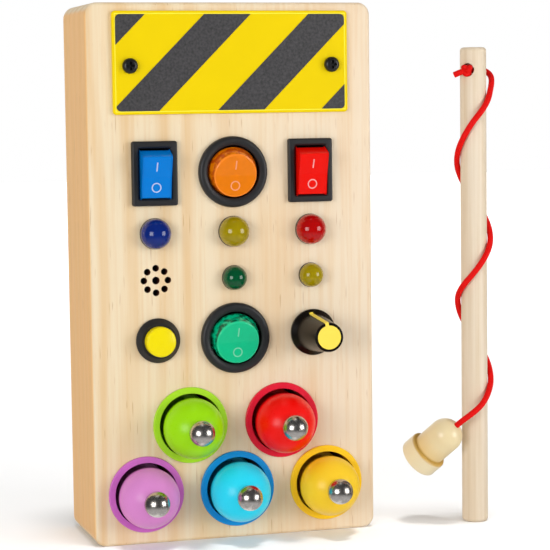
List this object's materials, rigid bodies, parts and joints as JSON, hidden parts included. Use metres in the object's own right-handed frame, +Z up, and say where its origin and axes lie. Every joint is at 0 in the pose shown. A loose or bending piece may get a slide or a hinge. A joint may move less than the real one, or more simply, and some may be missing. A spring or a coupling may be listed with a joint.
{
  "type": "wooden busy board with fishing wand",
  "caption": "Upright pine activity board with rocker switches, lamps, buzzer, knob, push button, hazard-striped plate, round-headed magnetic pegs in rings and a corded fishing wand.",
  "frame": {"origin": "centre of the board's flat bottom face", "axes": "+Z up the board, +X to the right seen from the front, the front faces -Y"},
  "size_m": [0.1402, 0.0567, 0.176],
  "materials": {
    "pine": "smooth sanded",
    "plywood": "sanded",
    "dowel": "smooth sanded",
    "screw_black": "black oxide",
    "screw_zinc": "zinc plated",
    "plate_yellow": "satin paint",
    "stripe_black": "textured vinyl",
    "switch_black": "fine matt nylon",
    "rocker_blue": "gloss",
    "rocker_red": "gloss",
    "rocker_amber": "gloss, translucent",
    "rocker_green": "gloss, translucent",
    "terminal_metal": "tinned",
    "led_blue": "clear coloured epoxy",
    "led_yellow": "clear coloured epoxy",
    "led_red": "clear coloured epoxy",
    "led_green": "clear coloured epoxy",
    "lead_metal": "tinned",
    "speaker_black": "matt",
    "circuit_green": "solder mask",
    "chip_black": "moulded epoxy",
    "button_yellow": "gloss",
    "knob_black": "semi-gloss",
    "knob_yellow": "satin",
    "pot_metal": "plated",
    "spring_steel": "bright",
    "ring_green": "gloss",
    "ring_red": "gloss",
    "ring_purple": "gloss",
    "ring_blue": "gloss",
    "ring_yellow": "gloss",
    "peg_green": "gloss",
    "peg_red": "gloss",
    "peg_purple": "gloss",
    "peg_blue": "gloss",
    "peg_yellow": "gloss",
    "steel_ball": "polished",
    "battery_black": "matt",
    "cell_wrap": "plain sleeve",
    "wire_mixed": "silicone sleeve",
    "cord_red": "round elastic cord",
    "bell_cream": "gloss",
    "magnet_nickel": "nickel plated"
  },
  "bodies": {
    "board": {"board_body": "pine", "back_cover": "plywood", "back_cover_screws": "screw_zinc", "hazard_plate": "plate_yellow", "hazard_stripes": "stripe_black", "plate_screws": "screw_black", "switch_terminals": "terminal_metal", "led_blue": "led_blue", "led_yellow": "led_yellow", "led_red": "led_red", "led_small_green": "led_green", "led_small_yellow": "led_yellow", "led_leads": "lead_metal", "buzzer_speaker": "speaker_black", "circuit_board": "circuit_green", "control_chip": "chip_black", "button_housing": "switch_black", "button_spring": "spring_steel", "button_nut": "switch_black", "pot_body": "pot_metal", "pot_nut": "pot_metal", "battery_box": "battery_black", "battery_cells": "cell_wrap", "battery_contacts": "spring_steel", "wiring": "wire_mixed", "switch_housing_blue": "switch_black", "switch_housing_red": "switch_black", "switch_housing_amber": "switch_black", "switch_housing_green": "switch_black", "ring_green": "ring_green", "ring_red": "ring_red", "ring_purple": "ring_purple", "ring_blue": "ring_blue", "ring_yellow": "ring_yellow"},
    "battery_door": {"battery_door": "battery_black", "battery_door_screws": "screw_zinc"},
    "button": {"button_cap": "button_yellow"},
    "knob": {"knob_body": "knob_black", "knob_marker": "knob_yellow", "pot_shaft": "pot_metal"},
    "wand": {"wand_rod": "dowel", "wand_knot": "cord_red", "wand_cord": "cord_red", "wand_bell": "bell_cream", "wand_magnet": "magnet_nickel"},
    "blue_rocker": {"rocker_blue": "rocker_blue"},
    "red_rocker": {"rocker_red": "rocker_red"},
    "amber_rocker": {"rocker_amber": "rocker_amber"},
    "green_rocker": {"rocker_green": "rocker_green"},
    "green_peg": {"peg_green": "peg_green", "peg_ball_green": "steel_ball"},
    "red_peg": {"peg_red": "peg_red", "peg_ball_red": "steel_ball"},
    "purple_peg": {"peg_purple": "peg_purple", "peg_ball_purple": "steel_ball"},
    "blue_peg": {"peg_blue": "peg_blue", "peg_ball_blue": "steel_ball"},
    "yellow_peg": {"peg_yellow": "peg_yellow", "peg_ball_yellow": "steel_ball"}
  },
  "joints": [
    {"name": "blue_rocker_tip", "type": "hinge", "parent": "board", "child": "blue_rocker", "pos_m": [-0.0263, -0.0175, 0.1211], "axis": [-1, 0, 0], "range_deg": [0, 26]},
    {"name": "red_rocker_tip", "type": "hinge", "parent": "board", "child": "red_rocker", "pos_m": [0.0263, -0.0175, 0.1211], "axis": [-1, 0, 0], "range_deg": [0, 26]},
    {"name": "amber_rocker_tip", "type": "hinge", "parent": "board", "child": "amber_rocker", "pos_m": [0, -0.0175, 0.1211], "axis": [-1, 0, 0], "range_deg": [0, 26]},
    {"name": "green_rocker_tip", "type": "hinge", "parent": "board", "child": "green_rocker", "pos_m": [0, -0.0175, 0.0666], "axis": [-1, 0, 0], "range_deg": [0, 26]},
    {"name": "button_press", "type": "slide", "parent": "board", "child": "button", "axis": [0, 1, 0], "range_m": [0, 0.003], "stiffness_N_per_m": 200, "springref_m": -0.003, "deforming": ["button_spring"]},
    {"name": "knob_turn", "type": "hinge", "parent": "board", "child": "knob", "pos_m": [0.0266, -0.0185, 0.0674], "axis": [0, -1, 0], "range_deg": [-150, 150]},
    {"name": "green_peg_pull", "type": "slide", "parent": "board", "child": "green_peg", "axis": [0, -1, 0], "range_m": [0, 0.036]},
    {"name": "red_peg_pull", "type": "slide", "parent": "board", "child": "red_peg", "axis": [0, -1, 0], "range_m": [0, 0.036]},
    {"name": "purple_peg_pull", "type": "slide", "parent": "board", "child": "purple_peg", "axis": [0, -1, 0], "range_m": [0, 0.036]},
    {"name": "blue_peg_pull", "type": "slide", "parent": "board", "child": "blue_peg", "axis": [0, -1, 0], "range_m": [0, 0.036]},
    {"name": "yellow_peg_pull", "type": "slide", "parent": "board", "child": "yellow_peg", "axis": [0, -1, 0], "range_m": [0, 0.036]},
    {"name": "battery_door_lift", "type": "slide", "parent": "board", "child": "battery_door", "axis": [0, 1, 0], "range_m": [0, 0.03]},
    {"name": "wand_lift", "type": "slide", "parent": "board", "child": "wand", "axis": [0, 0, 1], "range_m": [0, 0.05]}
  ]
}
